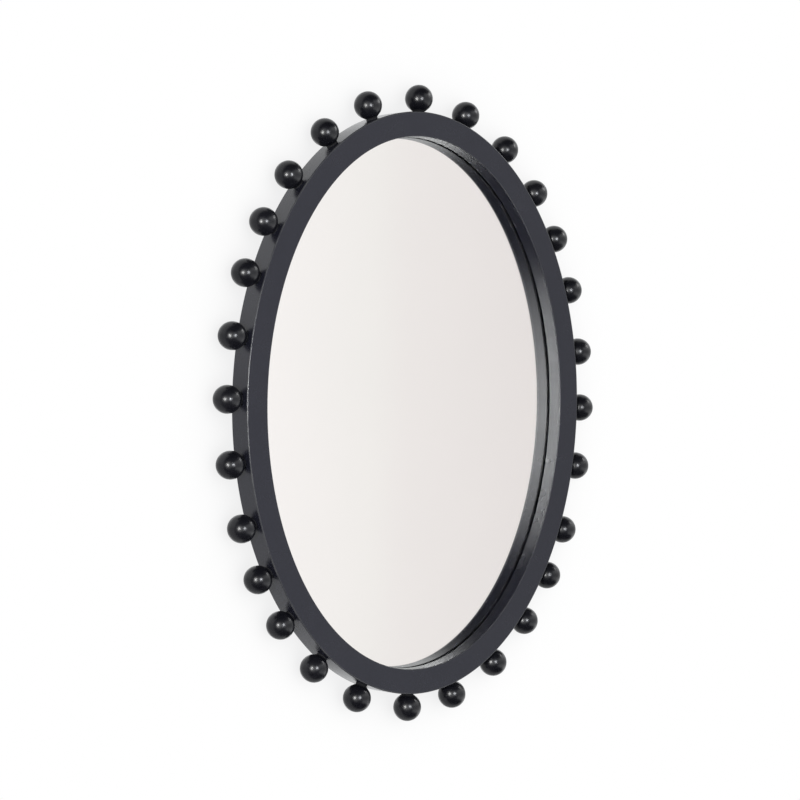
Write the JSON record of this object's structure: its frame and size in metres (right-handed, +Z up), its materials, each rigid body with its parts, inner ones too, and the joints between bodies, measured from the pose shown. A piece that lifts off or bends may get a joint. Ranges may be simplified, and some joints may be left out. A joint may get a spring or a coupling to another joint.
{
  "type": "wall mirror",
  "caption": "Oval wall mirror in a deep matt black wooden frame, with turned wooden balls spaced round its outer rim and keyhole hangers let into the back.",
  "frame": {"origin": "the middle of the oval, in the plane of the wall that the felt pads touch", "axes": "+Z up the wall, +X to the right as one faces the mirror, +Y into the wall, so the face looks along -Y"},
  "size_m": [0.6722, 0.0407, 0.9122],
  "materials": {
    "frame_paint": "matt black paint on wood",
    "ball_paint": "satin black paint on turned wood",
    "nail_steel": "bright",
    "mirror": "silvered glass",
    "foam": "thin white foam",
    "hardboard": "smooth brown hardboard",
    "point_steel": "dull",
    "plate_steel": "zinc plated",
    "screw_steel": "zinc plated",
    "felt": "dark felt"
  },
  "bodies": {
    "root": {"oval_frame": "frame_paint", "rim_balls": "ball_paint", "ball_nails": "nail_steel", "mirror_glass": "mirror", "foam_sheet": "foam", "backing_board": "hardboard", "framing_points": "point_steel", "hanger_plates": "plate_steel", "hanger_screws": "screw_steel", "wall_pads": "felt"}
  },
  "joints": []
}
